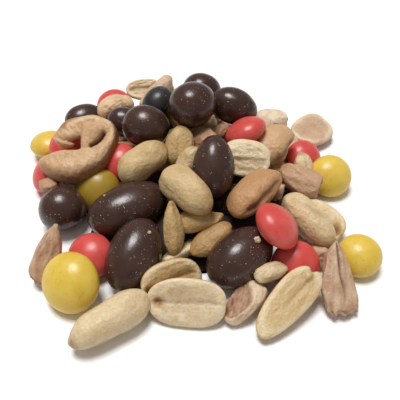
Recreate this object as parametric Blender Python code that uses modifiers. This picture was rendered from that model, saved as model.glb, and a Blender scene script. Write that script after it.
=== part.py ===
"""A loose heap of trail mix lying on a flat surface.

One closed solid out to the uneven outline of the heap: chocolate-coated pieces, red and yellow
candies, peanuts and cashews, fused with the packed middle that they lie on. +Y is the back.
"""
import math

import bmesh
import bpy
from mathutils import Matrix, Vector

MM = 0.001

# The packed middle: a low dome with uneven lobes round it, under the loose pieces, millimetres
CORE_CENTRE = (-3.0, 3.0)
CORE_WIDTH = 60.0
CORE_HEIGHT = 14.0
CORE_LOBES = 9
LOBE_RADIUS = 25.0
LOBE_WIDTH = 25.0
LOBE_HEIGHT = 7.0

# How finely the lumps are fused, and how many triangles of that are kept
FUSE_STEP = 1.2 * MM
KEPT_SHARE = 0.19
FLOOR_BOX = 0.2

# The loose pieces, each laid by hand: x, y and z of its middle in millimetres, then turn about
# +Z, tip of its long axis upwards and roll about that axis in degrees, then its length, width
# and thickness in millimetres
CHOCOLATES = (
    (0.5, 31.5, 15, 0, 0, 0, 12, 11, 10.6),
    (-2, 17, 21, 40, 10, 0, 13.4, 13, 12.6),
    (10, 21.5, 16.5, -15, -15, 0, 14, 10.4, 10.4),
    (-12.5, 25.5, 15, 60, 20, 0, 10.6, 9, 8.4),
    (-15, 14.5, 15.5, -10, 0, 0, 13.6, 11.8, 11.6),
    (-23, 22, 11, 0, 0, 0, 10, 9, 9),
    (-36.5, 30.5, 5, 25, 0, 0, 12.5, 9.8, 9.6),
    (-37, -9, 6, 0, 0, 0, 12.6, 12.2, 12),
    (-18.5, -10.5, 8.5, 26, 6, 0, 21.8, 13.4, 12.8),
    (-16, -25, 7.2, 66, 25, 0, 19.6, 13.2, 12.8),
    (3.5, -3, 16, 85, 45, 0, 16.6, 11.2, 11),
    (9.5, -25, 6.5, 40, 10, 0, 19, 13.2, 12.8),
)
RED_CANDIES = (
    (-28, 38.5, 4, 90, 20, 0, 11.4, 11.4, 7.8),
    (-38, 13.5, 8, 90, 20, 0, 12, 12, 8),
    (-43.5, 5, 5, 0, 50, 0, 12, 12, 8),
    (-21.5, 7.5, 8, 90, 40, 0, 11.8, 11.8, 8),
    (-27, -22.5, 4.8, 60, 30, 0, 12.4, 12.4, 8.4),
    (12.5, 11.5, 16, -45, 38, 0, 12, 12, 7.4),
    (30, 13.5, 4.8, 120, 40, 0, 11.6, 11.6, 7.8),
    (18.5, -22, 14.5, 192, 45, 0, 12.6, 12.6, 8.2),
    (24, -24.5, 5, 90, 40, 0, 12.4, 12.4, 8),
)
YELLOW_CANDIES = (
    (-45, 19, 4, -90, 15, 0, 12, 12, 7.8),
    (-27.5, -3.5, 7.5, 90, 45, 0, 12.4, 12.4, 8.2),
    (-31, -32.5, 6.4, 36, 48, 0, 15.2, 15.2, 9.6),
    (37, 5, 4.8, 100, 35, 0, 12.2, 12.2, 8.4),
    (40, -25.5, 6.5, 80, 25, 0, 11.6, 11.6, 8.2),
)
PEANUTS = (
    (-21, -41.5, 4.2, 35, 0, 0, 20.8, 8.9, 8.6),
    (-15.5, 1.5, 13.5, 42, 8, 0, 15.2, 9.4, 9),
    (-3.5, -11, 16, -45, -5, 0, 16.2, 9.8, 9),
    (27.5, -15, 8, -46, -18, 0, 17.4, 8.8, 8.4),
    (-6.5, -19.5, 10.5, 95, 52, 0, 13.5, 5.6, 4.2),
    (-0.5, -16, 9.5, 10, 5, 0, 10.6, 6.2, 5.4),
    (2.5, -20, 7, 35, 20, 0, 12.6, 6.6, 4.6),
)
HALF_PEANUTS = (
    (-3, -37.5, 6.5, -5, 0, 50, 18.5, 12, 5.4),
    (-7, -30, 6.7, 28, 0, 55, 15.4, 11.2, 5),
    (20.5, -37, 4.3, 46, 15, 20, 21.4, 9.6, 5.4),
    (12.5, 2.5, 14, -10, 0, 40, 13.6, 10.5, 5),
    (35, 27, 3, 40, 0, 10, 14, 12.5, 4.6),
    (-18, 41.5, 8, 5, 0, 30, 11.4, 7.4, 4.2),
    (32, -11, 3.2, -50, -10, 20, 12.4, 9, 4.6),
)
CASHEWS = (
    (21, 9.5, 11.6, 48, 14, 0, 19, 9.6, 8.2),
    (-26, 29.5, 10, 20, 10, 0, 14.6, 6.8, 6.4),
    (-13.5, 34.5, 12.2, 46, 18, 0, 14, 7.4, 6.6),
)
OPEN_CASHEWS = (
    (-32, 6.5, 14, 0, 0, 24, 21.8, 18, 7),
)
CHUNKS = (
    (27, -1.5, 9.5, -30, 0, 0, 12.6, 8.8, 8),
    (21.5, 24, 9, 0, 0, 0, 10, 7.4, 6.6),
    (18, 17.5, 11.5, 60, 0, 0, 7.6, 6.4, 6),
    (10.5, -36.5, 3.6, 52, 14, 0, 12.4, 9.4, 7.6),
    (17, -31.5, 8.6, 20, 0, 0, 8.6, 5, 4.6),
    (20.5, -5, 9.2, 60, 30, 0, 5.8, 4.8, 4.4),
    (29, 6.5, 8, 60, 20, 0, 7.8, 6.6, 6.4),
    (-41.5, -2, 7.4, 20, 0, 0, 6.8, 5.6, 5),
    (-5.5, 7.5, 14, 80, 50, 0, 11.2, 8.2, 7.4),
    (-3, 1, 14, 60, 40, 0, 8, 6.4, 6),
    (1, 10.5, 13.5, 30, 20, 0, 7.6, 6, 5.6),
    (5.5, 15, 12, 30, 20, 0, 6.6, 5, 4.8),
    (33.5, -23, 4, 0, 0, 0, 10, 8, 7),
    (14.5, -9.5, 12.8, 42, 15, -25, 20.5, 9.6, 8.2),
)
SHARDS = (
    (-38, -24, 5.6, 75, 35, 40, 15.4, 8.4, 5),
    (33, -33, 6, 95, 30, 10, 19, 9.6, 5),
)

# The pieces of the hidden back slope, so low that none looks over the crest
BACK_ROUND = (
    (-14, 37, 5, 70, 0, 0, 16, 9.2, 8.8),
    (-4.5, 37, 5, 20, 0, 0, 9.5, 7.5, 6.8),
    (27.5, 19.5, 4, 10, 0, 0, 9.5, 7.5, 6.8),
    (1, 33, 8.5, -90, 25, 0, 9.5, 7.5, 6.8),
    (-7, 33, 10, 10, 0, 0, 16, 9.2, 8.8),
    (9, 26, 9, 30, 0, 0, 12.8, 11.4, 11),
    (-30, 24, 5, 40, 30, 0, 12.2, 12.2, 8),
    (17, 21, 6, 60, 0, 0, 16, 9.2, 8.8),
    (8, 24, 5.5, 0, 0, 0, 12.8, 11.4, 11),
    (-3, 27, 6, 150, 0, 0, 16, 9.2, 8.8),
    (-12, 29, 11, 60, 0, 0, 9.5, 7.5, 6.8),
)
BACK_HALVES = (
    (10.5, 29.5, 4.2, -30, 0, 30, 15.5, 9.8, 4.8),
    (4, 35, 4, 100, 0, 0, 15.5, 9.8, 4.8),
    (-20, 24, 7.5, 140, 0, -30, 15.5, 9.8, 4.8),
)
BACK_CASHEWS = (
    (19.5, 26, 4.5, -35, 0, 20, 17, 8, 7.2),
    (-21, 30, 5, 100, 0, 0, 17, 8, 7.2),
)


def placed(place):
    """The matrix that stretches a unit ball to a piece's size and lays it at its place."""
    x, y, z, turn, tip, roll, length, width, thickness = place
    turned = (
        Matrix.Rotation(math.radians(turn), 4, "Z")
        @ Matrix.Rotation(math.radians(-tip), 4, "Y")
        @ Matrix.Rotation(math.radians(roll), 4, "X")
    )
    stretched = Matrix.Diagonal((length / 2, width / 2, thickness / 2, 1))
    return Matrix.Scale(MM, 4) @ Matrix.Translation((x, y, z)) @ turned @ stretched


def ball(bm, matrix):
    """A unit ball under a matrix. Returns its points."""
    made = bmesh.ops.create_uvsphere(bm, u_segments=24, v_segments=14, radius=1.0)
    bmesh.ops.transform(bm, matrix=matrix, verts=made["verts"])
    return made["verts"]


def half_kernel(bm, matrix):
    """A kernel split lengthwise: rounded below, and almost flat on its upper face."""
    made = bmesh.ops.create_uvsphere(bm, u_segments=24, v_segments=14, radius=1.0)
    for point in made["verts"]:
        point.co.z = point.co.z * 0.15 + 0.35 if point.co.z > 0 else point.co.z * 1.35 + 0.35
    bmesh.ops.transform(bm, matrix=matrix, verts=made["verts"])


def crescent(bm, matrix):
    """A cashew: balls that follow an arc and get smaller towards its two ends."""
    steps = 7
    for step in range(steps):
        along = 2 * step / (steps - 1) - 1
        angle = math.radians(75 * along)
        thick = 1 - 0.25 * along * along
        spot = Vector((0.68 * math.sin(angle), 1.0 * (math.cos(angle) - 0.6), 0))
        lump = Matrix.Translation(spot) @ Matrix.Diagonal((0.36 * thick, 0.75 * thick, thick, 1))
        ball(bm, matrix @ lump)


def splinter(bm, matrix):
    """A broken sliver of nut: one end wide, the other drawn out to a blunt point."""
    made = bmesh.ops.create_uvsphere(bm, u_segments=24, v_segments=14, radius=1.0)
    for point in made["verts"]:
        slim = 1 - 0.45 * (point.co.x + 1) / 2
        point.co.y *= slim
        point.co.z *= slim
    bmesh.ops.transform(bm, matrix=matrix, verts=made["verts"])


def open_crescent(bm, matrix):
    """A large open cashew: balls round three quarters of a ring, and a lobe folded inwards."""
    steps = 13
    for step in range(steps):
        angle = math.radians(-150 + 285 * step / (steps - 1))
        thick = 1.0 if step < steps / 2 else 0.8
        spot = Vector((0.76 * math.cos(angle), 0.7 * math.sin(angle), 0))
        lump = Matrix.Translation(spot) @ Matrix.Diagonal((0.3 * thick, 0.4 * thick, thick, 1))
        ball(bm, matrix @ lump)
    for step in range(4):
        lump = Matrix.Translation((0.35 - 0.1 * step, 0.5 - 0.25 * step, 0.2))
        ball(bm, matrix @ lump @ Matrix.Diagonal((0.27, 0.35, 0.8, 1)))


KINDS = (
    (CHOCOLATES, ball),
    (RED_CANDIES, ball),
    (YELLOW_CANDIES, ball),
    (PEANUTS, ball),
    (HALF_PEANUTS, half_kernel),
    (CASHEWS, crescent),
    (OPEN_CASHEWS, open_crescent),
    (CHUNKS, ball),
    (SHARDS, splinter),
    (BACK_ROUND, ball),
    (BACK_HALVES, half_kernel),
    (BACK_CASHEWS, crescent),
)


def core(bm):
    """The packed middle of the heap: a dome and a ring of lobes, cut off below by the floor."""
    ball(bm, placed((*CORE_CENTRE, 0, 0, 0, 0, CORE_WIDTH, CORE_WIDTH, 2 * CORE_HEIGHT)))
    for lobe in range(CORE_LOBES):
        angle = 2 * math.pi * lobe / CORE_LOBES
        radius = LOBE_RADIUS * (1 + 0.12 * math.cos(3 * angle))
        x = CORE_CENTRE[0] + 1.1 * radius * math.cos(angle)
        y = CORE_CENTRE[1] + radius * math.sin(angle)
        ball(bm, placed((x, y, 0, 0, 0, 0, LOBE_WIDTH, LOBE_WIDTH, 2 * LOBE_HEIGHT)))


def heap_material():
    """Roasted nut brown: the average look of the mix."""
    material = bpy.data.materials.new("mixed_nuts")
    material.use_nodes = True
    shader = material.node_tree.nodes["Principled BSDF"]
    shader.inputs["Base Color"].default_value = (0.47, 0.29, 0.15, 1)
    shader.inputs["Roughness"].default_value = 0.5
    material.diffuse_color = (0.47, 0.29, 0.15, 1)
    return material


def floor_cutter(collection):
    """A box whose top is the floor: it cuts the heap's underside flat."""
    bpy.ops.mesh.primitive_cube_add(size=FLOOR_BOX, location=(0, 0, -FLOOR_BOX / 2))
    cutter = bpy.context.object
    cutter.name = "floor_cutter"
    cutter.hide_render = True
    cutter.display_type = "WIRE"
    for holder in list(cutter.users_collection):
        holder.objects.unlink(cutter)
    collection.objects.link(cutter)
    return cutter


def outer_skin(mesh):
    """Keeps the largest shell of a fused mesh and drops pockets shut inside it."""
    bm = bmesh.new()
    bm.from_mesh(mesh)
    left = set(bm.faces)
    shells = []
    while left:
        shell = set()
        front = [next(iter(left))]
        left.discard(front[0])
        while front:
            face = front.pop()
            shell.add(face)
            for edge in face.edges:
                for neighbour in edge.link_faces:
                    if neighbour in left:
                        left.discard(neighbour)
                        front.append(neighbour)
        shells.append(shell)
    shells.sort(key=len)
    for shell in shells[:-1]:
        bmesh.ops.delete(bm, geom=list(shell), context="FACES")
    bm.to_mesh(mesh)
    bm.free()


def evaluated_mesh(thing):
    """The object's mesh after its modifiers."""
    graph = bpy.context.evaluated_depsgraph_get()
    return bpy.data.meshes.new_from_object(thing.evaluated_get(graph))


def build():
    for thing in list(bpy.data.objects):
        bpy.data.objects.remove(thing)
    parts = bpy.data.collections.new("heap_of_trail_mix")
    cutters = bpy.data.collections.new("cutters")
    bpy.context.scene.collection.children.link(parts)
    bpy.context.scene.collection.children.link(cutters)

    bm = bmesh.new()
    core(bm)
    for places, make in KINDS:
        for place in places:
            make(bm, placed(place))
    mesh = bpy.data.meshes.new("heap")
    bm.to_mesh(mesh)
    bm.free()
    heap = bpy.data.objects.new("heap", mesh)
    parts.objects.link(heap)

    fuse = heap.modifiers.new("fuse", "REMESH")
    fuse.mode = "VOXEL"
    fuse.voxel_size = FUSE_STEP
    heap.data = evaluated_mesh(heap)
    heap.modifiers.clear()
    outer_skin(heap.data)

    thin = heap.modifiers.new("thin", "DECIMATE")
    thin.ratio = KEPT_SHARE
    flatten = heap.modifiers.new("flatten", "BOOLEAN")
    flatten.operation = "DIFFERENCE"
    flatten.solver = "EXACT"
    flatten.object = floor_cutter(cutters)
    heap.data = evaluated_mesh(heap)
    heap.modifiers.clear()
    heap.data.materials.clear()
    heap.data.materials.append(heap_material())
    heap.data.shade_smooth()
    heap.data.set_sharp_from_angle(angle=math.radians(60))

    lows = [min(point.co[axis] for point in heap.data.vertices) for axis in range(3)]
    highs = [max(point.co[axis] for point in heap.data.vertices) for axis in range(3)]
    middle = Vector(((lows[0] + highs[0]) / 2, (lows[1] + highs[1]) / 2, lows[2]))
    heap.data.transform(Matrix.Translation(-middle))
    print("heap", [round(1000 * (high - low), 1) for low, high in zip(lows, highs)], "mm,",
          len(heap.data.polygons), "faces")


build()
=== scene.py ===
# %% [markdown]
# # A heap of trail mix
# The object is a loose heap of snack mix that lies on a table: chocolate-coated pieces, red and
# yellow sugar-shelled candies, peanuts, cashews and broken bits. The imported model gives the
# heap's outline and size as one solid. Here every loose piece is modelled at its true size,
# laid in its place, nudged until it touches its neighbours without sinking into them, and given
# the surface of the real food.

# %% Load the frame
import math
import random

import bmesh
import bpy
import numpy as np
from mathutils import Euler, Matrix, Vector, kdtree


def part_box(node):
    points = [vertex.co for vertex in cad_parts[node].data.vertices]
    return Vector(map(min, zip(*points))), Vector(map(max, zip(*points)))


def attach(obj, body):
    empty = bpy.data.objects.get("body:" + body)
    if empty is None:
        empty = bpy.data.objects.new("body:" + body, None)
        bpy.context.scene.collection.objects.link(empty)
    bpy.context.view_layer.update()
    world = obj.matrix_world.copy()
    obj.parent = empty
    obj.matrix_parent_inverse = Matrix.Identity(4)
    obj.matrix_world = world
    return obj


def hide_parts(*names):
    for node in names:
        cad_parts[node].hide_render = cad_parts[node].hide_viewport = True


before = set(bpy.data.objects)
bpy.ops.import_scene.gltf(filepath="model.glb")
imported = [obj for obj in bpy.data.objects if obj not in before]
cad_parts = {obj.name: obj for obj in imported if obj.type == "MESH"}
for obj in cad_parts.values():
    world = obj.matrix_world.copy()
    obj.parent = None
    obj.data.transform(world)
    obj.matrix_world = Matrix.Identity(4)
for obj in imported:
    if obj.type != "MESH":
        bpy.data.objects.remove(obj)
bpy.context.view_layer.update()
heap_low, heap_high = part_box("heap")
heap_middle = (heap_low + heap_high) / 2
MM = 0.001
print("heap", [round((b - a) / MM, 1) for a, b in zip(heap_low, heap_high)], "mm")

# %% [markdown]
# ## Small helpers
# Colours are written as sRGB hex, as a painter would pick them, and Blender's shaders want
# linear light, so one function does the change. Another adds a shader node with its settings
# and its links in one line, so a material reads from top to bottom like a recipe.

# %% Colours and nodes


def linear(colour):
    """An sRGB hex colour, such as '#c8a77a', as linear RGBA."""
    parts = [int(colour[start:start + 2], 16) / 255 for start in (1, 3, 5)]
    bent = [p / 12.92 if p <= 0.04045 else ((p + 0.055) / 1.055) ** 2.4 for p in parts]
    return (*bent, 1.0)


def add(tree, kind, sockets=None, **settings):
    """Adds a node. A socket takes a value, or (node, output) to be linked."""
    made = tree.nodes.new(kind)
    for name, value in settings.items():
        setattr(made, name, value)
    for socket, value in (sockets or {}).items():
        if isinstance(value, tuple) and isinstance(value[0], bpy.types.Node):
            tree.links.new(value[0].outputs[value[1]], made.inputs[socket])
        else:
            made.inputs[socket].default_value = value
    return made


def smooth(low, high, value):
    """0 below low, 1 above high, and a soft step between them."""
    share = np.clip((value - low) / (high - low), 0, 1)
    return share * share * (3 - 2 * share)


print("a mid grey in linear light:", round(linear("#808080")[0], 3))

# %% [markdown]
# ## The ball that every piece starts from
# A ball with poles pinches wherever its poles end up, and nuts are seen from every side. So the
# start is a cube whose faces are cut into an even grid and then blown up to a ball. Bending,
# squeezing and denting its points gives every kind of piece, with clean quads all over.
#
# Each kind has a maker below. It gives back the piece's points and quads in millimetres round
# its own middle, and two marks for each point: how browned it is, with painted shade added in
# some valleys, on inner walls and on one side of some faces (below 0 is paler than the rest of
# the piece), and how much painted shade it gets in a crease, groove, crack or slit, which on
# broken flesh is a dark speck of its grain instead.

# %% Even ball
balls = {}


def even_ball(cuts):
    """Points and quads of a unit ball made from a cube with this many cuts along an edge."""
    if cuts not in balls:
        bm = bmesh.new()
        bmesh.ops.create_cube(bm, size=2)
        bmesh.ops.subdivide_edges(bm, edges=bm.edges[:], cuts=cuts, use_grid_fill=True)
        points = np.array([point.co for point in bm.verts])
        faces = np.array([[point.index for point in face.verts] for face in bm.faces])
        bm.free()
        points = np.tan(points * math.pi / 4)
        points /= np.linalg.norm(points, axis=1)[:, None]
        balls[cuts] = points, faces
    return balls[cuts]


def waves(points, rng, size, count=7):
    """Soft unevenness from -1 to 1: a few sine waves in random directions, about size long."""
    total = np.zeros(len(points))
    for _ in range(count):
        direction = Vector((rng.gauss(0, 1), rng.gauss(0, 1), rng.gauss(0, 1))).normalized()
        length = size * rng.uniform(0.7, 1.5)
        phase = rng.uniform(0, 2 * math.pi)
        total += np.sin(points @ np.array(direction) * 2 * math.pi / length + phase)
    return total / math.sqrt(count)


def flattened(shape, rng, count, reach, press):
    """Presses flat patches on a body, as where a nut lay against others or was chipped."""
    for _ in range(count):
        direction = Vector((rng.gauss(0, 0.5), rng.gauss(0, 1), rng.gauss(0, 1)))
        normal = np.array(direction.normalized())
        along = shape @ normal
        over = np.clip(along - reach * along.max(), 0, None)
        shape = shape - normal * (press * over)[:, None]
    return shape


print("a ball of 12 cuts has", len(even_ball(12)[1]), "quads")

# %% [markdown]
# ## Candies
# A sugar-shelled candy is a lentil: a chocolate centre rolled in sugar syrup until a hard,
# smooth shell has built up. Its two faces bulge and meet in a soft rim. The ball is squashed,
# and its height is bent so that the rim gets narrower than an ellipse's.

# %% Candy
CANDY_RIM = 0.56


def candy(length, width, thickness, rng):
    points, faces = even_ball(13)
    spread = np.clip(np.hypot(points[:, 0], points[:, 1]), 0, 1)
    height = np.sign(points[:, 2]) * (1 - spread ** 2 + 1e-9) ** CANDY_RIM
    shape = np.column_stack((points[:, 0] * length, points[:, 1] * width, height * thickness)) / 2
    shape *= 1 + 0.008 * waves(points, rng, 1.6)[:, None]
    return shape, faces, np.zeros(len(points)), np.zeros(len(points))


print("half way out a candy keeps", round((1 - 0.5 ** 2) ** CANDY_RIM, 2), "of its height")

# %% [markdown]
# ## Chocolate-coated pieces
# A nut or raisin is tumbled in melted chocolate, which leaves a thick coat that follows the
# centre loosely. So each is an egg, one end a little slimmer, with slow humps and hollows.

# %% Chocolate-coated piece


def coated(length, width, thickness, rng):
    points, faces = even_ball(17)
    shape = points * np.array((length, width, thickness)) / 2
    slim = 1 - rng.uniform(0.03, 0.09) * points[:, 0]
    shape[:, 1] *= slim
    shape[:, 2] *= slim
    shape *= 1 + 0.013 * waves(points, rng, 1.7)[:, None] + 0.004 * waves(points, rng, 0.6)[:, None]
    return shape, faces, np.zeros(len(points)), np.zeros(len(points))


# %% [markdown]
# ## Whole peanuts
# A kernel has blunt ends, a nearly round section and a seam where its two halves meet. At one
# end the germ makes a small beak. Roasting browns the beak and the high spots, which a mask on
# the points remembers for the material.

# %% Whole peanut


def blunt(along, power):
    """How much wider than an ellipse a blunt-ended shape is at a place along it."""
    return np.sqrt((1 - np.abs(along) ** power + 1e-6) / (1 - along ** 2 + 1e-6))


def kernel(length, width, thickness, rng, power=2.8, beak=0.5):
    points, faces = even_ball(19)
    x, y, z = points.T
    waist = 1 - 0.04 * np.exp(-(x / 0.35) ** 2)
    full = blunt(x, power) * (1 - rng.uniform(0.02, 0.12) * x) * waist
    bend = rng.uniform(-0.5, 0.5)
    seam = np.exp(-(y / 0.07) ** 2) * (np.abs(x) < 0.97)
    tip = np.exp(-((1 - x) / 0.1) ** 2)
    neck = np.exp(-((x - 0.8) / 0.12) ** 2) * smooth(0, 0.5, z) * (beak > 0.6)
    shape = np.column_stack((
        x * length / 2 + beak * tip,
        y * full * width / 2 + bend * x * x,
        z * full * thickness / 2 * (1 - 0.02 * seam) - 0.9 * neck,
    ))
    shape = flattened(shape, rng, 4, 0.86, 0.55)
    shape += points * (0.14 * waves(points, rng, 1.1) + 0.035 * waves(points, rng, 0.3))[:, None]
    brown = 0.8 * np.exp(-((1 - x) / 0.14) ** 2) + 0.35 * smooth(0.4, 1.6, waves(points, rng, 0.9))
    # The seam and the dent behind the beak get painted shade through the crease mark.
    return shape, faces, brown, 0.25 * seam + 0.5 * neck


# %% [markdown]
# ## Split peanuts
# Kernels split along their seam. A half is domed behind and has a face that falls in a shallow
# valley to a groove down its middle, inside a rounded pale rim. The germ leaves a brown dent at
# one end, or stays on as a little nub.

# %% Split peanut
RIM_HEIGHT = 1.0
VALLEY_DEPTH = 0.85
VALLEY_WIDTH = 2.6
GROOVE_DEPTH = 0.3
GROOVE_WIDTH = 0.42
GERM_PLACE = 0.76
GERM_RADIUS = 1.3


def half_kernel(length, width, thickness, rng, taper=0.15, nub=False, opens=-1.2, hollow=1.0,
                step=0.0, cleft=1.0):
    points, faces = even_ball(20)
    x, y, z = points.T
    spread = np.clip(np.hypot(x, y), 0, 1)
    angle = np.arctan2(y, x)
    squarish = (np.abs(np.cos(angle)) ** 2.5 + np.abs(np.sin(angle)) ** 2.5) ** (-1 / 2.5)
    squarish *= 1 + 0.02 * np.cos(3 * angle + 6 * rng.random()) + 0.012 * waves(points, rng, 1.2)
    squarish *= 1 - (0.1 if nub else 0.03) * np.exp(-((angle - 0.1) / 0.16) ** 2) * spread ** 4
    along = x * squarish * length / 2
    across = y * squarish * width / 2 * (1 - taper * (0.5 - 0.5 * x) ** 1.5)
    wander = across - 0.35 * np.sin(along / length * 5 + 6 * rng.random())
    inside = (1 - smooth(0.72, 0.96, spread)) * smooth(opens, opens + 0.5, x)
    valley = hollow * VALLEY_DEPTH * np.exp(-(np.abs(wander) / VALLEY_WIDTH) ** 1.3) * inside
    groove = cleft * np.exp(-(wander / GROOVE_WIDTH) ** 2) * inside
    from_germ = np.hypot(along - GERM_PLACE * length / 2, across - 0.4)
    germ = np.exp(-(from_germ / GERM_RADIUS) ** 2)
    ring = np.exp(-((from_germ - GERM_RADIUS) / 0.45) ** 2)
    top = RIM_HEIGHT * np.sqrt(1 - spread ** 6 + 1e-9)
    top += 0.1 * waves(points, rng, 0.35) * inside - valley - GROOVE_DEPTH * groove
    top += (0.8 if nub else -1.0 * cleft) * germ - (0.35 if nub else 0) * ring
    top -= step * np.tanh(wander / 0.3) * inside
    bottom = -(thickness - RIM_HEIGHT) * np.sqrt(1 - spread ** 2 + 1e-9)
    bottom *= 1 + 0.03 * waves(points, rng, 0.8)
    upper = z > 0
    shape = np.column_stack((along, across, np.where(upper, top, bottom)))
    rim = smooth(0.6, 0.85, spread) * (1 - smooth(0.96, 1.0, spread))
    # Painted shade: the face is browner down its valley, and the step browns one side of it.
    face = 0.5 * valley / VALLEY_DEPTH + (0.3 if nub else 1.3 * cleft) * germ - 0.3 * rim
    face = face + 0.6 * (abs(step) + step * np.tanh(wander / 0.4)) * inside
    brown = np.where(upper, face, 0.2 + 0.15 * smooth(0, 1, -z))
    brown = brown + 0.25 * smooth(0.4, 1.6, waves(points, rng, 0.8))
    # The groove and the dent round a nub get painted shade through the crease mark.
    return shape, faces, brown, np.where(upper, 0.4 * groove + (0.2 if nub else 0) * ring, 0)


# %% [markdown]
# ## Cashews
# A cashew is a fat comma. It could be bent with a Curve modifier, but working the bend out for
# each point also tells where the inner crease and the toasted ends are. A curve through a few
# chosen points is the nut's middle line, and the ball's points are carried along it.

# %% A body along a curved middle line


def through(knots, share):
    """Points on a smooth curve through the knots, at shares from 0 to 1 of its run."""
    knots = np.array(knots, float)
    padded = np.vstack((2 * knots[0] - knots[1], knots, 2 * knots[-1] - knots[-2]))
    place = np.clip(share, 0, 1) * (len(knots) - 1)
    first = np.minimum(place.astype(int), len(knots) - 2)
    part = (place - first)[:, None]
    a, b, c, d = (padded[first + step] for step in range(4))
    line = 2 * b + (c - a) * part + (2 * a - 5 * b + 4 * c - d) * part ** 2
    return (line + (3 * b - 3 * c + d - a) * part ** 3) / 2


def swept(cuts, knots, widths, thicks, power=2.6, lean=0.0, boxy=2.0):
    """A ball drawn out along a curve in its own flat plane: points, faces, share, and side."""
    points, faces = even_ball(cuts)
    x, y, z = points.T
    round_part = np.hypot(y, z) + 1e-9
    corners = ((np.abs(y) / round_part) ** boxy + (np.abs(z) / round_part) ** boxy) ** (-1 / boxy)
    share = (x + 1) / 2
    middle = through(knots, share)
    ahead = through(knots, share + 0.01) - through(knots, share - 0.01)
    ahead /= np.linalg.norm(ahead, axis=1)[:, None]
    side = np.column_stack((-ahead[:, 1], ahead[:, 0], np.zeros(len(x))))
    full = blunt(x, power) * corners
    wide = through([(w, 0, 0) for w in widths], share)[:, 0] / 2
    thick = through([(t, 0, 0) for t in thicks], share)[:, 0] / 2
    shape = middle + side * (y * full * wide + lean * z * full * thick)[:, None]
    shape[:, 2] += z * full * thick
    return shape, faces, share, y, z, side


# %% Cashew
CASHEW_BEND = math.radians(66)


def cashew(length, width, thickness, rng, bend=CASHEW_BEND):
    radius = (length - width * 0.7) / (2 * math.sin(bend))
    angles = [bend * step for step in (-1, -0.5, 0, 0.5, 1)]
    knots = [(radius * math.sin(a), radius * (math.cos(a) - 0.75), 0) for a in angles]
    widths = [width * share for share in (0.85, 1.05, 1.0, 0.9, 0.72)]
    thicks = [thickness * share for share in (0.9, 1.02, 1.0, 0.92, 0.75)]
    shape, faces, share, y, z, side = swept(20, knots, widths, thicks, boxy=2.3)
    points = even_ball(20)[0]
    along = np.abs(2 * share - 1)
    crease = np.exp(-(z / 0.22) ** 2) * smooth(0.2, 0.8, -y) * (1 - smooth(0.75, 1, along))
    shape += side * (0.75 * crease)[:, None]
    shape += points * (0.16 * waves(points, rng, 0.9) + 0.05 * waves(points, rng, 0.3))[:, None]
    ends = smooth(0.8, 1.0, along)
    brown = 0.35 * ends + 0.3 * smooth(0.3, 1.5, waves(points, rng, 1.0)) + 0.25 * smooth(0.3, 1, y)
    # The inner crease gets painted shade through the crease mark.
    return shape, faces, brown, 0.6 * crease


# %% [markdown]
# ## Broken nuts
# Chunks have one or more flat, rough breaks, where the pale to reddish flesh shows its grain.
# The ball is made blocky, and all points beyond a cutting plane are pressed on to it and
# roughened. The mask remembers which points belong to a break.

# %% Chunk


def chunk(length, width, thickness, rng, breaks=((1, 0, 0.2),), reach=0.66, taper=0.0):
    points, faces = even_ball(18)
    blocky = np.sign(points) * np.abs(points) ** 0.86
    shape = blocky * np.array((length, width, thickness)) / 2
    shape[:, 1:] *= (1 - taper * (0.5 - 0.5 * points[:, 0]))[:, None]
    shape *= 1 + 0.045 * waves(points, rng, 1.2)[:, None]
    shape = flattened(shape, rng, 4, 0.8, 0.75)
    flesh = np.zeros(len(points))
    for plane in breaks:
        normal = np.array(Vector(plane).normalized())
        over = np.clip(shape @ normal - reach * np.abs(shape @ normal).max(), 0, None)
        rough = 0.15 * waves(points, rng, 0.34) + 0.14 * waves(points, rng, 0.16)
        shape -= normal * (over * 0.95 - rough * smooth(0.1, 0.6, over))[:, None]
        flesh = np.maximum(flesh, smooth(0.0, 0.4, over))
    shape += points * (0.12 * waves(points, rng, 0.7) + 0.05 * waves(points, rng, 0.3))[:, None]
    brown = 0.8 * flesh + 0.3 * smooth(0.3, 1.5, waves(points, rng, 0.9))
    return shape, faces, brown, 0.3 * flesh * smooth(-0.2, 1, waves(points, rng, 0.24))


# %% Shard


def shard(length, width, thickness, rng, crack=False):
    points, faces = even_ball(20)
    x, y, z = points.T
    slim = 1 - 0.72 * ((x + 1) / 2) ** 2.2
    across = y * blunt(x, 3.4) * slim * width / 2
    along = x * length / 2 + 0.5 * waves(points, rng, 0.8) * smooth(0.6, 1, -x)
    upper = smooth(-0.2, 0.2, z)
    height = z * blunt(x, 3.4) * (1 - 0.35 * upper) * thickness / 1.6 * (0.5 + 0.5 * slim)
    fibres = 0.09 * waves(points * (0.25, 1, 1), rng, 0.3) + 0.06 * waves(points, rng, 0.2)
    height += fibres * upper
    line = np.exp(-((across - 0.3 * np.sin(along * 0.5)) / 0.26) ** 2) * upper
    line = line * smooth(-0.75, 0.1, x) * (1.0 if crack else 0.0)
    height -= 0.8 * line
    over = np.clip(-along - 0.36 * length, 0, None)
    along += over * 0.7 - 0.5 * waves(points, rng, 0.3) * smooth(0, 0.5, over)
    shape = np.column_stack((along, across + 0.3 * waves(points, rng, 0.9), height))
    shape = flattened(shape, rng, 3, 0.8, 0.7)
    brown = 0.4 + 0.25 * waves(points, rng, 0.5)
    # The crack gets painted shade through the crease mark.
    return shape, faces, np.clip(brown, 0, 1), line


# %% [markdown]
# ## The big open cashew
# The largest nut lies open like a C, with a lobe folded into its middle and a small lip at its
# mouth. It is drawn as four swept bodies, one of them a low floor that closes the slit beside
# the lobe, and a voxel remesh melts them into one skin, as the real nut is one piece. The
# curves are for a nut OPEN_LENGTH long, and other lengths are scaled from it.

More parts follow.
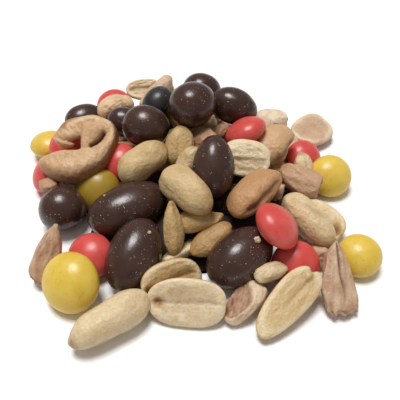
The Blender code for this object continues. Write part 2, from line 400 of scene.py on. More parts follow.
# %% Open cashew
# The middle line, the widths and the thicknesses of each body, in millimetres
OPEN_RIM = [(-10.6, -3.2), (-7.8, -4.4), (-3.6, -5.0), (1.2, -4.9), (5.6, -2.7), (9.0, 1.1),
            (10.3, 4.9), (8.8, 8.0), (4.4, 8.9), (-0.2, 7.5), (-3.6, 5.9), (-6.4, 4.9)]
OPEN_RIM_WIDTHS = [5.0, 7.6, 9.6, 8.8, 7.0, 4.6, 3.6, 4.0, 5.4, 7.4, 7.8, 5.4]
OPEN_RIM_THICKS = [5.0, 7.0, 8.0, 8.0, 7.4, 6.4, 5.8, 5.6, 5.6, 5.8, 5.4, 4.4]
OPEN_LOBE = [(6.0, 8.2), (5.5, 5.6), (4.3, 2.4), (2.6, -1.9)]
OPEN_LOBE_WIDTHS = [8.6, 8.2, 5.8, 3.2]
OPEN_LOBE_THICKS = [5.4, 6.4, 6.0, 4.8]
OPEN_FLOOR = [(8.4, 6.2), (6.6, 3.0), (4.6, 0.2)]
OPEN_LIP = [(-7.3, 4.6), (-5.3, 3.1), (-3.0, 2.3), (-0.6, 2.5)]
OPEN_SLIT = [(8.5, 4.4), (7.2, 2.2), (5.0, 0.3)]
OPEN_VOXEL = 0.3
OPEN_LENGTH = 23.0


def fused(bodies, voxel):
    """Several overlapping closed bodies as one skin, and for each point the nearest old one."""
    mesh = bpy.data.meshes.new("fusing")
    points = np.vstack([body[0] for body in bodies])
    starts = np.cumsum([0] + [len(body[0]) for body in bodies])
    faces = np.vstack([body[1] + start for body, start in zip(bodies, starts)])
    mesh.from_pydata(points.tolist(), [], faces.tolist())
    helper = bpy.data.objects.new("fusing", mesh)
    bpy.context.scene.collection.objects.link(helper)
    remesh = helper.modifiers.new("fuse", "REMESH")
    remesh.mode = "VOXEL"
    remesh.voxel_size = voxel
    soften = helper.modifiers.new("soften", "SMOOTH")
    soften.factor = 0.5
    soften.iterations = 4
    result = helper.evaluated_get(bpy.context.evaluated_depsgraph_get()).to_mesh()
    points = np.array([point.co for point in result.vertices])
    faces = np.array([tuple(face.vertices) for face in result.polygons])
    bpy.data.objects.remove(helper)
    bpy.data.meshes.remove(mesh)
    olds = np.vstack([body[0] for body in bodies])
    tree = kdtree.KDTree(len(olds))
    for number, old in enumerate(olds):
        tree.insert(old, number)
    tree.balance()
    return points, faces, np.array([tree.find(point)[1] for point in points])


def open_cashew(length, width, thickness, rng):
    rim = [(x, y, 0) for x, y in OPEN_RIM]
    lobe = [(x, y, 1.3) for x, y in OPEN_LOBE]
    below = [(x, y, -2.4) for x, y in OPEN_FLOOR]
    lip = [(x, y, -0.8) for x, y in OPEN_LIP]
    bodies = [
        swept(26, rim, OPEN_RIM_WIDTHS, OPEN_RIM_THICKS, power=4, lean=0.2, boxy=2.6),
        swept(16, lobe, OPEN_LOBE_WIDTHS, OPEN_LOBE_THICKS, power=3),
        swept(10, below, (5.0, 5.0, 4.0), (3.0, 3.0, 3.0)),
        swept(10, lip, (1.3, 1.8, 1.8, 1.4), (3.0, 3.2, 3.2, 3.0)),
    ]
    points, faces, nearest = fused(bodies, OPEN_VOXEL)
    y, z = (np.concatenate([body[part] for body in bodies])[nearest] for part in (3, 4))
    on_rim = nearest < len(bodies[0][0])
    shaded_inner_wall = smooth(-0.05, 0.6, -y) * (1 - smooth(0.45, 0.75, z)) * on_rim
    ridge = np.exp(-((z - 0.72) / 0.2) ** 2) * smooth(0, 0.5, -y) * on_rim
    shape = points * (length / OPEN_LENGTH)
    slit = through([(*corner, 0) for corner in OPEN_SLIT], np.linspace(0, 1, 24))
    slit *= length / OPEN_LENGTH
    off = np.linalg.norm(shape[:, None, :2] - slit[None, :, :2], axis=2).min(1)
    # Painted shade in the slit and on the inner wall.
    dark = np.exp(-(off / 0.55) ** 2) + 0.06 * shaded_inner_wall
    shape[:, 2] -= 1.2 * np.exp(-(off / 0.4) ** 2)
    shape[:, 2] += 0.22 * waves(points, rng, 6.0) + 0.07 * waves(points, rng, 1.6)
    shape[:, 2] -= 0.5 * np.exp(-((y - 0.1) / 0.35) ** 2) * smooth(0.5, 0.9, z) * on_rim
    # The browning of the inner wall is painted shade.
    brown = 0.85 * shaded_inner_wall - 0.4 * ridge + 0.35 * smooth(0.3, 1.5, waves(points, rng, 5.0))
    return shape, faces, brown, dark


# %% [markdown]
# ## Where every piece lies
# The pieces in sight were laid one by one. A row gives the middle of a piece in millimetres
# (x to the right, y to the back, z up), then its turn about the vertical, how far its long axis
# tips up, its roll about that axis, and its length, width and thickness. Angles are degrees.
# The numbers after those are settings of the kind's maker, in the maker's own order.

# %% Pieces in sight
CHOCOLATES = [
    (0.5, 31, 15.5, 0, 0, 0, 12, 11, 10.6),
    (-2, 16.5, 21.5, 40, 10, 0, 13.4, 13, 12.6),
    (9.5, 17.5, 20, -15, -15, 0, 14, 10.4, 10.4),
    (-15, 12.5, 17, -10, 0, 0, 13.6, 11.8, 11.6),
    (-22.5, 20, 12.5, 0, 0, 0, 10, 9, 9),
    (-36.5, 31, 5.5, 25, 0, 0, 12.5, 9.8, 9.6),
    (-36.6, -9, 6.1, 0, 0, 0, 12.6, 12.2, 12),
    (-18, -15, 13, 26, 6, 0, 21.8, 13.4, 12.8),
    (-16, -25.5, 8, 66, 25, 0, 19.6, 13.2, 12.8),
    (3.5, -3, 16, 85, 45, 0, 16.6, 11.2, 11),
    (10, -27, 8, 40, 10, 0, 19, 13.2, 12.8),
]
RAISINS = [
    (-12, 22, 18, 60, 20, 0, 10.6, 9, 8.4),
]
RED_CANDIES = [
    (-27.6, 36.5, 5.4, 90, 20, 0, 11.4, 11.4, 7.8),
    (-39, 16, 6, 90, 20, 0, 12, 12, 8),
    (-42.6, 4.6, 5.8, 0, 50, 0, 12, 12, 8),
    (-22, 4.6, 10.6, 90, 30, 0, 11, 11, 7.6),
    (-27.2, -24.6, 6, 60, 30, 0, 12, 12, 8.2),
    (12.5, 9.5, 17.5, -45, 38, 0, 12, 12, 7.4),
    (30, 10.5, 7.6, 120, 40, 0, 10.8, 10.8, 7.4),
    (18.5, -20.5, 12.5, 192, 45, 0, 12.6, 12.6, 8.2),
    (23.4, -27.4, 6, 90, 40, 0, 12.2, 12.2, 8),
]
# A candy's row may go on with how much painted shade its shell gets, from 0 to 1.
YELLOW_CANDIES = [
    (-44.6, 17.5, 4.5, -90, 15, 0, 12, 12, 7.8),
    # This candy's 0.8 is painted shade.
    (-28, -2.4, 7.2, 90, 45, 0, 12.4, 12.4, 8.2, 0.8),
    (-30.5, -33.4, 7.2, 62, 45, 0, 14.8, 14.8, 10.2),
    (36.6, 4, 5.5, 100, 35, 0, 12.2, 12.2, 8.4),
    (40, -23.4, 4.4, 80, 20, 0, 11.4, 11.4, 8),
]
# A nut's row goes on with how dark it was roasted, from 0 to 1.
PEANUTS = [
    (-21, -41, 4.5, 215, 0, 75, 21, 9.2, 8.8, 0.14, 3.0, 0.1),
    (-15, 0, 15, 42, 8, 90, 15.2, 9.4, 9, 0.36),
    (-3.5, -10.5, 15.5, -45, -5, 75, 16.2, 9.8, 9, 0.34),
    (27.5, -15.5, 9, -46, -18, 90, 17.4, 8.8, 8.4, 0.22),
    (-6.5, -21, 12, 95, 52, 30, 13.5, 5.6, 4.2, 0.45, 2.0, 0.6),
    (-0.6, -18.6, 13, 10, 5, 0, 10.6, 6.2, 5.4, 0.5, 2.3, 1.4),
    (2.5, -21.5, 9, 35, 20, 0, 12.6, 6.6, 4.6, 0.8, 2.3, 0.3),
    (-5.5, 5, 16, 80, 50, 0, 11.4, 8.2, 7.6, 0.4, 2.6, 0.2),
    (-3, 2, 13.5, 60, 40, 0, 8.4, 6.4, 6, 0.3, 2.6, 0.2),
    (16.8, -29.2, 5.6, 20, 0, 0, 8.4, 4.8, 4, 0.1, 2.4, 0.2),
    (29.6, 6, 7.4, 100, 50, 0, 8, 5.8, 5.4, 0.1, 2.2, 0.1),
]
SPLIT_PEANUTS = [
    (-3, -37, 6, 175, 0, -50, 18.5, 12, 5.4, 0, 0.05, False, -1.2, 0.25, -0.22),
    (-7, -31.8, 5.4, 208, 0, -52, 15.4, 11.2, 5, 0.4, 0.1, False),
    (20.8, -36.6, 5, 46, 13, 20, 21.4, 10.2, 5.4, 0.36, 0.4, True, -0.3, 0.3, 0.0, 0.55),
    (12, 0.5, 16, -10, 0, 40, 13.6, 10.5, 5, 0, 0.1, False, -1.2, 0, -0.3, 0),
    (-18, 40, 9.5, 5, 0, 30, 11.4, 7.4, 4.2, 0.1, 0.1, False),
    (31.8, -12.4, 6, -50, -10, 20, 14, 10.4, 4.6, 0.25, 0.2, False, 0.2),
]
TOASTED_HALVES = [
    (35, 26.3, 3, 40, 0, 10, 13.6, 12, 4.6, 0.3, 0.1, False, -1.2, 0.6, 0, 0),
]
CASHEWS = [
    (21.4, 6, 14.2, 48, 14, 0, 21, 10.4, 8.6, 0.3, 0.8),
    (16.2, -11, 12.4, 42, 15, -25, 23, 9.6, 8.2, 0.56, 0.6),
    (-25.6, 28, 11, 20, 10, 0, 14.8, 7, 6.6, 0),
]
OPEN_CASHEWS = [
    (-34.8, 8.4, 11, 0, 0, 24, 21.4, 18, 7, 0.25),
]
CHUNKS = [
    (27.4, -2.2, 10, -38, -6, 0, 14, 8.6, 7.6, 0.45, ((1, 0.3, 0),), 0.74),
    (21.5, 22.5, 10.5, 0, 0, 0, 11, 7.8, 6.8, 0, ((1, 0, 0),), 0.8),
    (18, 16, 13, 60, 0, 0, 8, 6.4, 6, 0.2, ((0, 1, 0),), 0.9),
    (10.5, -35.2, 3.7, 50, 12, -8, 12.8, 9.6, 7.6, 0.15, ((-0.1, 0.2, 1),), 0.5, 0.42),
    (20, -6.5, 11, 60, 30, 0, 5.8, 4.8, 4.4, 0.4),
    (-42.4, 2, 4.4, 20, 0, 0, 5.8, 5, 4.4, 0.55),
    (1, 9, 15, 30, 20, 0, 7.6, 6, 5.6, 0.5, ((0, 1, 0),), 0.9),
    (5.5, 12, 15, 30, 20, 0, 6.6, 5, 4.8, 0.8, ((0, 1, 0),), 0.9),
    (30.5, -22.5, 3, 0, 0, 0, 7, 6, 5.4, 0.4),
    (-13.6, 33.6, 12.6, 46, 18, 0, 14, 7.4, 6.6, 0.25, (), 0.66, 0.35),
]
SHARDS = [
    (-37.6, -24.2, 5.8, 75, 38, 40, 16.6, 8.4, 5, 0.3, False),
    (33.4, -30.6, 5, 95, 29, 10, 20.6, 9.8, 4.8, 0.25, True),
]

# Crumbs broken off the nuts lie on the larger pieces, with the same columns as a chunk.
CRUMBS = [
    (13.6, -25.4, 13.6, 20, 0, 0, 1.8, 1.4, 1.3, 0.1),
    (-12, -24.5, 15.2, 60, 0, 0, 0.7, 0.6, 0.5, 0.1),
    (-24, -12, 14.4, 10, 0, 0, 0.7, 0.6, 0.5, 0.1),
]

# %% [markdown]
# ## Pieces that fill the heap
# Under and behind the pieces in sight the heap goes on, so that every gap shows a nut or a
# candy in shade, and the back of the heap is as finished as its front. The pieces behind the
# crest are laid one by one, so low that none looks over it. Those inside come from a seeded
# scatter on rings.

# %% Pieces behind and below
KIND_SIZES = {
    "kernel": (16.0, 9.2, 8.8),
    "coated": (12.8, 11.4, 11.0),
    "half_kernel": (15.5, 9.8, 4.8),
    "candy_red": (12.0, 12.0, 8.0),
    "candy_yellow": (12.2, 12.2, 8.0),
    "cashew": (17.0, 8.0, 7.2),
    "chunk": (9.5, 7.5, 6.8),
}
BACK_PIECES = [
    # kind, middle, turn, tip, roll
    ("kernel", -14, 37, 5, 70, 0, 0),
    ("chunk", -4.5, 37, 5, 20, 0, 0),
    ("half_kernel", 4, 35, 4, 100, 0, 0),
    ("half_kernel", 10.5, 29.5, 4.2, -30, 0, 30),
    ("cashew", 19.5, 26, 4.5, -35, 0, 20),
    ("chunk", 27.5, 19.5, 4, 10, 0, 0),
    ("chunk", 1, 33, 8.5, -90, 25, 0),
    ("kernel", -7, 33, 10, 10, 0, 0),
    ("coated", 9, 25, 9, 30, 0, 0),
    ("cashew", -21, 30, 5, 100, 0, 0),
    ("candy_yellow", -30, 24, 5, 40, 30, 0),
    ("half_kernel", -20, 24, 7.5, 140, 0, -30),
    ("kernel", 17, 21, 6, 60, 0, 0),
    ("coated", 8, 24, 5.5, 0, 0, 0),
    ("kernel", -3, 27, 6, 150, 0, 0),
    ("chunk", -12, 29, 11, 60, 0, 0),
]
FILL_SEED = 11
FILL_RINGS = [
    # ring radius, height, count
    (4, 5, 3),
    (12, 4.8, 6),
    (21, 4.6, 9),
    (29, 4.4, 9),
]
FILL_MIDDLE = (-3, 0)
FILL_MIX = ["kernel", "coated", "half_kernel", "cashew", "kernel", "chunk", "half_kernel",
            "coated"]
makers = {
    "kernel": kernel,
    "coated": coated,
    "raisin": coated,
    "half_kernel": half_kernel,
    "toasted_half": half_kernel,
    "candy_red": candy,
    "candy_yellow": candy,
    "cashew": cashew,
    "open_cashew": open_cashew,
    "chunk": chunk,
    "shard": shard,
}
items = []


def lay(kind, rows, fixed=True):
    """Adds one item for each row, with its own random numbers."""
    for row in rows:
        size = row[6:9]
        rng = random.Random(100 * len(items) + len(kind))
        # For a nut this number is its roast, for a candy its painted shade.
        roast_and_shade = row[9] if len(row) > 9 else rng.uniform(0.1, 0.6) * (not kind.startswith("candy"))
        shape, faces, brown, dark = makers[kind](*size, rng, *row[10:])
        turned = (Matrix.Rotation(math.radians(row[3]), 3, "Z")
                  @ Matrix.Rotation(math.radians(-row[4]), 3, "Y")
                  @ Matrix.Rotation(math.radians(row[5]), 3, "X"))
        items.append({
            "kind": kind, "place": np.array(row[:3], float), "turned": np.array(turned),
            "size": size, "shape": shape, "faces": faces, "brown": brown, "dark": dark,
            "fixed": fixed, "tint": roast_and_shade, "grain": rng.random(),
        })


for kind, rows in (("coated", CHOCOLATES), ("raisin", RAISINS), ("candy_red", RED_CANDIES),
                   ("candy_yellow", YELLOW_CANDIES), ("kernel", PEANUTS),
                   ("half_kernel", SPLIT_PEANUTS), ("toasted_half", TOASTED_HALVES),
                   ("cashew", CASHEWS), ("open_cashew", OPEN_CASHEWS), ("chunk", CHUNKS),
                   ("shard", SHARDS), ("chunk", CRUMBS)):
    lay(kind, rows)
in_sight = len(items)
fill_rng = random.Random(FILL_SEED)


def fill(kind, place, angles):
    """Lays one more piece of a kind, a little larger or smaller than the kind's own size."""
    growth = fill_rng.uniform(0.92, 1.06)
    lay(kind, [(*place, *angles, *(side * growth for side in KIND_SIZES[kind]))], fixed=False)


for kind, x, y, z, *angles in BACK_PIECES:
    fill(kind, (x, y, z), angles)
for radius, height, count in FILL_RINGS:
    for number in range(count):
        angle = 2 * math.pi * (number + 0.5) / count
        place = (FILL_MIDDLE[0] + 1.15 * radius * math.cos(angle),
                 FILL_MIDDLE[1] + radius * math.sin(angle), height)
        fill(FILL_MIX[len(items) % len(FILL_MIX)], place,
             (fill_rng.uniform(0, 360), fill_rng.uniform(-20, 20), fill_rng.uniform(-40, 40)))
print(in_sight, "pieces in sight,", len(items) - in_sight, "behind and below")

# %% [markdown]
# ## Settling the heap
# Poured pieces touch, and never sink into each other. A rigid body simulation would roll them
# away from their chosen places, so a gentler way is used: each piece is stood in for by a few
# balls, and balls of different pieces that overlap push each other apart a little, over and
# over. A weak spring draws each piece back to its place, and the floor pushes up.

# %% Stand-in balls
# A ball's radius as a share of the width or thickness round it, and where the balls of a round
# piece lie, as shares of half its length
OPEN_FILL = 0.42
CASHEW_FILL = (0.36, 0.45, 0.45, 0.42, 0.34)
BODY_STEPS = (-0.62, -0.32, 0, 0.32, 0.62)


def stand_ins(item):
    """Centres and radii of a few balls that fill a piece, in its own axes."""
    length, width, thickness = item["size"]
    kind = item["kind"]
    if kind.startswith("candy"):
        # One ball in the middle and six in a ring
        radius = thickness / 2 * 0.94
        ring = length / 2 - radius * 0.86
        angles = np.arange(6) * math.pi / 3
        centres = [(ring * 0.92 * math.cos(a), ring * 0.92 * math.sin(a), 0) for a in angles]
        return np.array(centres + [(0, 0, 0)]), np.array([radius * 0.86] * 6 + [radius])
    if kind in ("half_kernel", "toasted_half", "shard"):
        # Three rows of five small balls, in the outline of an oval
        radius = thickness / 2 * 0.9
        drop = 0.3 * thickness - 0.2
        reach, side = length / 2 - radius, width / 2 - radius
        rows = [(u * reach, v * side * math.sqrt(max(1 - u * u * 0.8, 0)), -drop + 0.9)
                for u in (-1, -0.5, 0, 0.5, 1) for v in (-1, 0, 1)]
        return np.array(rows), np.full(len(rows), radius * 0.9)
    if kind == "open_cashew":
        rows = np.array([(x, y, 0) for x, y in OPEN_RIM + OPEN_LOBE]) * length / OPEN_LENGTH
        widths = np.array(OPEN_RIM_WIDTHS + OPEN_LOBE_WIDTHS) * length / OPEN_LENGTH
        return rows, widths * OPEN_FILL
    if kind == "cashew":
        radius = (length - width * 0.7) / (2 * math.sin(CASHEW_BEND))
        angles = [CASHEW_BEND * step for step in (-1, -0.5, 0, 0.5, 1)]
        rows = [(radius * math.sin(a), radius * (math.cos(a) - 0.75), 0) for a in angles]
        return np.array(rows), np.array(CASHEW_FILL) * thickness
    half, low = length / 2, min(width, thickness) / 2
    steps = np.array(BODY_STEPS if length > 1.15 * width else (0.0,))
    centres = np.column_stack((steps * half, 0 * steps, 0 * steps))
    return centres, low * 0.97 * np.sqrt(1 - steps ** 2 * 0.85)


# %% [markdown]
# The spring is firmer across the line of sight than along it, so a crowded piece slides nearer
# or farther and still shows where it should. The pieces in sight, laid one by one, are heavy, so
# those inside give way to them.

# %% Push apart
VIEW_ANGLE = math.radians(47)
VIEW_DISTANCE = 160.0
EYE = (0.0, -VIEW_DISTANCE * math.cos(VIEW_ANGLE), VIEW_DISTANCE * math.sin(VIEW_ANGLE))
# Lengths are millimetres. PUSH and the holds are shares of a move, and FADED_OUT is a share of
# the steps, after which nothing pulls a piece along the line of sight.
SETTLE_STEPS = 200
PUSH = 0.5
FIXED_WEIGHT = 12.0
LOOSE_HOLD = 0.1
ALLOWED_SINK = 0.2
HOLD_ACROSS = 0.2
HOLD_ALONG = 0.08
FADED_OUT = 0.9
SAG = 0.04
MOST_SINK = 0.9
FLOOR_REACH = 1.6
eye = np.array(EYE)


def settle(items):
    """Moves the items until they hardly overlap, and returns how deep each still sinks."""
    owners, offsets, radii = [], [], []
    for number, item in enumerate(items):
        centres, sizes = stand_ins(item)
        owners += [number] * len(sizes)
        offsets.append(centres @ item["turned"].T)
        radii.append(sizes)
    owners, offsets, radii = np.array(owners), np.vstack(offsets), np.concatenate(radii)
    places = np.array([item["place"] for item in items])
    wanted = places.copy()
    weight = np.array([FIXED_WEIGHT if item["fixed"] else 1.0 for item in items])[owners]
    hold = np.array([1.0 if item["fixed"] else LOOSE_HOLD for item in items])[:, None]
    touch = radii[:, None] + radii[None, :] - ALLOWED_SINK
    apart = owners[:, None] != owners[None, :]
    share = weight[None, :] / (weight[:, None] + weight[None, :])
    for step in range(SETTLE_STEPS):
        centres = places[owners] + offsets
        gaps = centres[:, None, :] - centres[None, :, :]
        far = np.sqrt((gaps ** 2).sum(2)) + 1e-9
        sunk = np.where(apart, np.clip(touch - far, 0, None), 0)
        push = (gaps / far[:, :, None] * (sunk * share)[:, :, None]).sum(1)
        moves, hits, lift = np.zeros_like(places), np.zeros(len(items)), np.zeros(len(items))
        np.add.at(moves, owners, push)
        np.add.at(hits, owners, (sunk > 0).sum(1))
        np.maximum.at(lift, owners, np.clip(radii - centres[:, 2], 0, None))
        places += PUSH * moves / np.sqrt(np.maximum(hits, 1))[:, None]
        places[:, 2] += PUSH * lift - SAG
        sight = places - eye
        sight /= np.linalg.norm(sight, axis=1)[:, None]
        error = wanted - places
        along = (error * sight).sum(1)[:, None] * sight
        fading = max(0.0, 1 - step / (FADED_OUT * SETTLE_STEPS))
        places += HOLD_ACROSS * hold * (error - along) + HOLD_ALONG * fading * along
    for item, place in zip(items, places):
        item["settled"] = place
    worst = np.zeros(len(items))
    np.maximum.at(worst, owners, sunk.max(1))
    return worst


worst = settle(items)
kept = [item for item, sink in zip(items, worst) if item["fixed"] or sink < MOST_SINK]
print(len(items) - len(kept), "hidden pieces had no room and were left out")
worst = settle(kept)
for item in kept:
    item["points"] = item["shape"] @ item["turned"].T + item["settled"]
    low = item["points"][:, 2].min()
    if low < FLOOR_REACH:
        item["points"][:, 2] -= low
moved = [np.linalg.norm(item["settled"] - item["place"]) for item in kept]
print(len(kept), "pieces; moved at most", round(max(moved), 1), "mm; deepest sink",
      round(worst.max(), 1), "mm")

# %% [markdown]
# ## Materials
# Every point keeps four marks. The first says how dark its piece was roasted, and on a candy how
# much painted shade its shell gets. Two more say how browned the point is, with painted shade in
# some valleys, on inner walls and on one side of some faces, and how much painted shade it gets
# in a crease, which on broken flesh is a dark speck of its grain instead. The fourth, its place on
# the piece itself in millimetres, carries the patterns, so that no pattern runs on from one nut
# to the next.

# %% Material base


def food(name, roughness, **settings):
    """A new material with its tree, its shader and the four marks that the points carry."""
    material = bpy.data.materials.new(name)
    material.use_nodes = True
    tree = material.node_tree
    shader = tree.nodes["Principled BSDF"]
    shader.inputs["Roughness"].default_value = roughness
    for socket, value in settings.items():
        shader.inputs[socket.replace("_", " ")].default_value = value
    marks = {mark: add(tree, "ShaderNodeAttribute", attribute_name=mark)
             for mark in ("tint", "brown", "dark", "grain")}
    return material, tree, shader, marks


def mixed(tree, share, first, second):
    """A colour between two, each a hex colour or a node's output, by a share."""
    sockets = {0: share}
    for socket, colour in ((6, first), (7, second)):
        sockets[socket] = linear(colour) if isinstance(colour, str) else colour
    return (add(tree, "ShaderNodeMix", sockets, data_type="RGBA"), 2)


def patches(tree, marks, size, low, high, detail=3.0):
    """A share from noise whose patches are about size millimetres across."""
    noise = add(tree, "ShaderNodeTexNoise", {"Vector": (marks["grain"], "Vector"),
                                             "Scale": 1 / size, "Detail": detail})
    return (add(tree, "ShaderNodeMapRange", {"Value": (noise, "Fac"), "From Min": low,
                                             "From Max": high}), "Result")


def bumped(tree, shader, height, distance, strength=1.0):
    """Gives the shader a bump from a height, distance in millimetres."""
    bump = add(tree, "ShaderNodeBump", {"Height": height, "Distance": distance * MM,
                                        "Strength": strength})
    tree.links.new(bump.outputs["Normal"], shader.inputs["Normal"])


# %% [markdown]
# ### Sugar shells
# The shells are polished with wax, so they are smooth, but handling dulls them: a soft
# highlight, slightly mottled colour, and very shallow hollows.

# %% Candy shells


def sugar_shell(name, light, base, worn, shade_and_speck_colour):
    material, tree, shader, marks = food(name, 0.34, IOR=1.5, Subsurface_Weight=0.12,
                                         Subsurface_Scale=0.002)
    colour = mixed(tree, patches(tree, marks, 3.5, 0.35, 0.7), base, light)
    colour = mixed(tree, patches(tree, marks, 0.9, 0.6, 0.78), colour, worn)
    # Painted shade: the shell darkens by the candy's shade mark.
    colour = mixed(tree, (marks["tint"], "Fac"), colour, shade_and_speck_colour)
    tree.links.new(colour[0].outputs[colour[1]], shader.inputs["Base Color"])
    bumped(tree, shader, patches(tree, marks, 1.6, 0.3, 0.7), 0.06, 0.5)
    return material


red_shell = sugar_shell("red_sugar_shell_polished", "#dc5a53", "#d24b44", "#bb3d37", "#8f2a28")
yellow_shell = sugar_shell("yellow_sugar_shell_polished", "#e8c858", "#dfbb44", "#caa436",
                           "#9a7a22")
print("candy shells:", red_shell.name, yellow_shell.name)

# %% [markdown]
# ### Chocolate
# Tumbled chocolate is polished to a soft gloss. Fine pale dust from the nuts sticks to it, as
# dots a few tenths of a millimetre wide, thicker in some places than in others.

# %% Chocolate coating


def chocolate_coating(name, base, light, roughness):
    material, tree, shader, marks = food(name, roughness, IOR=1.5)
    colour = mixed(tree, patches(tree, marks, 4.0, 0.3, 0.7), base, light)
    dots = add(tree, "ShaderNodeTexVoronoi", {"Vector": (marks["grain"], "Vector"), "Scale": 3.0})
    chance = add(tree, "ShaderNodeSeparateColor", {"Color": (dots, "Color")})
    reach = add(tree, "ShaderNodeMath", {0: (chance, "Red"), 1: 5.0}, operation="POWER")
    size = add(tree, "ShaderNodeMath", {0: (reach, "Value"), 1: 0.42}, operation="MULTIPLY")
    room = add(tree, "ShaderNodeMath", {0: (size, "Value"), 1: (dots, "Distance")},
               operation="SUBTRACT")
    near = add(tree, "ShaderNodeMapRange", {"Value": (room, "Value"), "From Min": 0.0,
                                            "From Max": 0.08})
    where = patches(tree, marks, 2.4, 0.44, 0.56, detail=3.0)
    dust = add(tree, "ShaderNodeMath", {0: (near, "Result"), 1: where}, operation="MULTIPLY")
    colour = mixed(tree, (dust, "Value"), colour, "#cabdb0")
    tree.links.new(colour[0].outputs[colour[1]], shader.inputs["Base Color"])
    bumped(tree, shader, patches(tree, marks, 0.9, 0.3, 0.7), 0.035, 0.5)
    return material


chocolate = chocolate_coating("chocolate_coating_tumbled", "#3b251d", "#4a3129", 0.27)
raisin_coat = chocolate_coating("dark_chocolate_coating", "#26211f", "#35302f", 0.36)
print("chocolate:", chocolate.name)

# %% [markdown]
# ### Roasted nuts
# Dry-roasted nut flesh is pale, a little waxy and finely mottled, because oil comes to the
# surface in small spots. Roasting browns beaks, dents and high spots. Shade in creases, grooves,
# cracks and slits is painted in with the darkest colour, and the browning carries some painted
# shade too.

# %% Nut flesh


def roasted(name, pale, base, toast, shade_and_speck_colour, roughness):
    material, tree, shader, marks = food(name, roughness, IOR=1.45, Subsurface_Weight=0.15,
                                         Subsurface_Scale=0.0012)
    first = add(tree, "ShaderNodeMapRange", {"Value": (marks["tint"], "Fac"), "From Max": 0.5})
    second = add(tree, "ShaderNodeMapRange", {"Value": (marks["tint"], "Fac"), "From Min": 0.5})
    own = mixed(tree, (second, "Result"), mixed(tree, (first, "Result"), pale, base), toast)
    cloudy = add(tree, "ShaderNodeMath", {0: patches(tree, marks, 2.6, 0.35, 0.7), 1: 0.45},
                 operation="MULTIPLY")
    colour = mixed(tree, (cloudy, "Value"), own, base)
    spots = add(tree, "ShaderNodeMath", {0: patches(tree, marks, 0.5, 0.5, 0.8, detail=3.0),
                                         1: 0.35}, operation="MULTIPLY")
    colour = mixed(tree, (spots, "Value"), colour, toast)
    uneven = add(tree, "ShaderNodeMath", {0: (marks["brown"], "Fac"),
                                          1: patches(tree, marks, 1.6, -0.3, 0.65)},
                 operation="MULTIPLY", use_clamp=True)
    colour = mixed(tree, (uneven, "Value"), colour, toast)
    # Painted shade in creases, and dark specks of grain on broken flesh.
    colour = mixed(tree, (marks["dark"], "Fac"), colour, shade_and_speck_colour)
    tree.links.new(colour[0].outputs[colour[1]], shader.inputs["Base Color"])
    bumped(tree, shader, patches(tree, marks, 0.8, 0.25, 0.75, detail=5.0), 0.22, 0.75)
    return material


peanut_flesh = roasted("peanut_dry_roasted", "#efdcb8", "#c9a76e", "#9f703f", "#694624", 0.38)
cashew_flesh = roasted("cashew_toasted", "#e6c79e", "#c69768", "#99623c", "#5a351e", 0.42)
broken_flesh = roasted("broken_nut_toasted", "#efdcbe", "#c29874", "#966244", "#583522", 0.46)
print("nuts:", peanut_flesh.name, cashew_flesh.name, broken_flesh.name)

# %% [markdown]
# ## Joining the pieces of a kind
# Many small objects are slow to handle, so the pieces of one kind become one mesh.

# %% Build the meshes
# How far apart the patterns of two pieces may start, in millimetres
GRAIN_SPREAD = 60.0
KIND_LOOKS = [
    ("chocolate_pieces", ("coated",), chocolate, "chocolate_coating"),
    ("dark_pieces", ("raisin",), raisin_coat, "chocolate_coating"),
    ("red_candies", ("candy_red",), red_shell, "red_candy_shell"),
    ("yellow_candies", ("candy_yellow",), yellow_shell, "yellow_candy_shell"),
    ("whole_peanuts", ("kernel",), peanut_flesh, "roasted_peanut"),
    ("split_peanuts", ("half_kernel",), peanut_flesh, "roasted_peanut"),
    ("cashews", ("cashew", "open_cashew"), cashew_flesh, "toasted_cashew"),
    ("nut_chunks", ("chunk", "shard", "toasted_half"), broken_flesh, "toasted_cashew"),
]


def joined(name, members, material):
    """One mesh of all the members, with the four marks on its points."""
    points = np.vstack([item["points"] for item in members])
    starts = np.cumsum([0] + [len(item["points"]) for item in members])
    faces = np.vstack([item["faces"] + start for item, start in zip(members, starts)])
    mesh = bpy.data.meshes.new(name)
    mesh.from_pydata((points * MM).tolist(), [], faces.tolist())
    marks = {
        "tint": np.concatenate([np.clip(item["tint"] + np.minimum(item["brown"], 0), 0, 1)
                                for item in members]),
        "brown": np.concatenate([np.clip(item["brown"], 0, 1) for item in members]),
        "dark": np.concatenate([np.clip(item["dark"], 0, 1) for item in members]),
    }
    for mark, values in marks.items():
        mesh.attributes.new(mark, "FLOAT", "POINT").data.foreach_set("value", values)
    grain = np.vstack([item["shape"] + GRAIN_SPREAD * item["grain"] for item in members])
    mesh.attributes.new("grain", "FLOAT_VECTOR", "POINT").data.foreach_set("vector", grain.ravel())
    mesh.materials.append(material)
    mesh.shade_smooth()
    piece = bpy.data.objects.new(name, mesh)
    bpy.context.scene.collection.objects.link(piece)
    return piece


made = []
for name, kinds, material, slot in KIND_LOOKS:
    members = [item for item in kept if item["kind"] in kinds]
    piece = joined(name, members, material)
    made.append((piece, slot))
    print(name, len(members), "pieces,", len(piece.data.polygons), "quads")

# %% [markdown]
# ## The packed middle
# Between the lowest pieces only shade shows. A low, lumpy dome in shaded nut brown closes the
# heap from inside, well under the loose pieces.

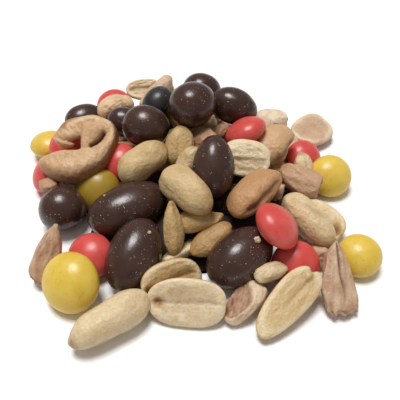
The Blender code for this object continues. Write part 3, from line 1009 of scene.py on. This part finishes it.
# %% Core
CORE_MIDDLE = (-3.0, 3.0)
CORE_SIZE = (62.0, 58.0, 15.0)
core_rng = random.Random(3)
core_points, core_faces = even_ball(30)
core_shape = core_points * np.array(CORE_SIZE) / 2
core_shape *= 1 + 0.07 * waves(core_points, core_rng, 0.5)[:, None]
core_shape[:, 2] = np.clip(core_shape[:, 2], 0, None)
core_item = {
    "points": core_shape + np.array((*CORE_MIDDLE, 0)), "faces": core_faces, "shape": core_shape,
    "tint": 0.5, "grain": 0.5, "brown": np.ones(len(core_points)),
    "dark": np.full(len(core_points), 0.8),
}
# The dome's dark browns are painted shade.
middle_material = roasted("packed_nuts_in_shade", "#6a4c36", "#58402c", "#44301f", "#2c1c12", 0.8)
made.append((joined("packed_middle", [core_item], middle_material), "packed_middle"))

# %% [markdown]
# ## Into the frame
# The layout above has its own zero point. All pieces move together so that the middle of their
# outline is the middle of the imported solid, on its floor.

# %% Ride and replace
corners = np.vstack([np.array([point.co for point in piece.data.vertices]) for piece, _ in made])
middle = (corners.min(0) + corners.max(0)) / 2
shift = Vector((heap_middle.x - middle[0], heap_middle.y - middle[1], heap_low.z))
for piece, slot in made:
    piece.data.transform(Matrix.Translation(shift))
    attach(piece, "root")
    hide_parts("heap")
print("layout moved by", [round(side / MM, 1) for side in shift], "mm")

# %% [markdown]
# ## Floor, light and camera
# A white table, one soft light from high up and a little behind, and white surroundings: a plain
# studio. The camera stands close, as a phone is held over a snack, and looks down at 47 degrees.

# %% Floor
FLOOR_SIZE = 4
FLOOR_WHITE = (1.0, 0.99, 0.98, 1.0)
bpy.ops.mesh.primitive_plane_add(size=FLOOR_SIZE, location=(0, 0, heap_low.z))
floor = bpy.context.object
floor.name = "floor"
floor_material = bpy.data.materials.new("white_laminate")
floor_material.use_nodes = True
floor_shader = floor_material.node_tree.nodes["Principled BSDF"]
floor_shader.inputs["Base Color"].default_value = FLOOR_WHITE
floor_shader.inputs["Roughness"].default_value = 0.6
floor.data.materials.append(floor_material)

# %% Light
ROOM_STRENGTH = 0.27
WINDOW_FROM = (-0.08, 0.09, 0.6)
WINDOW_SPREAD = 0.4
WINDOW_STRENGTH = 2.7
world = bpy.data.worlds.new("white_room")
bpy.context.scene.world = world
world.use_nodes = True
world.node_tree.nodes["Background"].inputs["Color"].default_value = (1, 1, 1, 1)
world.node_tree.nodes["Background"].inputs["Strength"].default_value = ROOM_STRENGTH


def far_lamp(name, direction, spread, strength):
    """A round soft lamp, so far off that the whole table gets the same light from it."""
    light = bpy.data.lights.new(name, "SUN")
    light.angle = spread
    light.energy = strength
    holder = bpy.data.objects.new(name, light)
    holder.rotation_euler = (-Vector(direction)).to_track_quat("-Z", "Y").to_euler()
    bpy.context.scene.collection.objects.link(holder)
    return holder


far_lamp("window_above", WINDOW_FROM, WINDOW_SPREAD, WINDOW_STRENGTH)

# %% Camera
LENS = 50.4
SENSOR_WIDTH = 36
camera_data = bpy.data.cameras.new("camera")
camera_data.lens = LENS
camera_data.sensor_width = SENSOR_WIDTH
camera_data.clip_start = 0.01
camera = bpy.data.objects.new("camera", camera_data)
aim = Vector((shift.x, shift.y, heap_low.z))
camera.location = aim + Vector(EYE) * MM
camera.rotation_euler = Euler((math.pi / 2 - VIEW_ANGLE, 0, 0))
bpy.context.scene.collection.objects.link(camera)
bpy.context.scene.camera = camera
bpy.context.scene.view_settings.view_transform = "Standard"
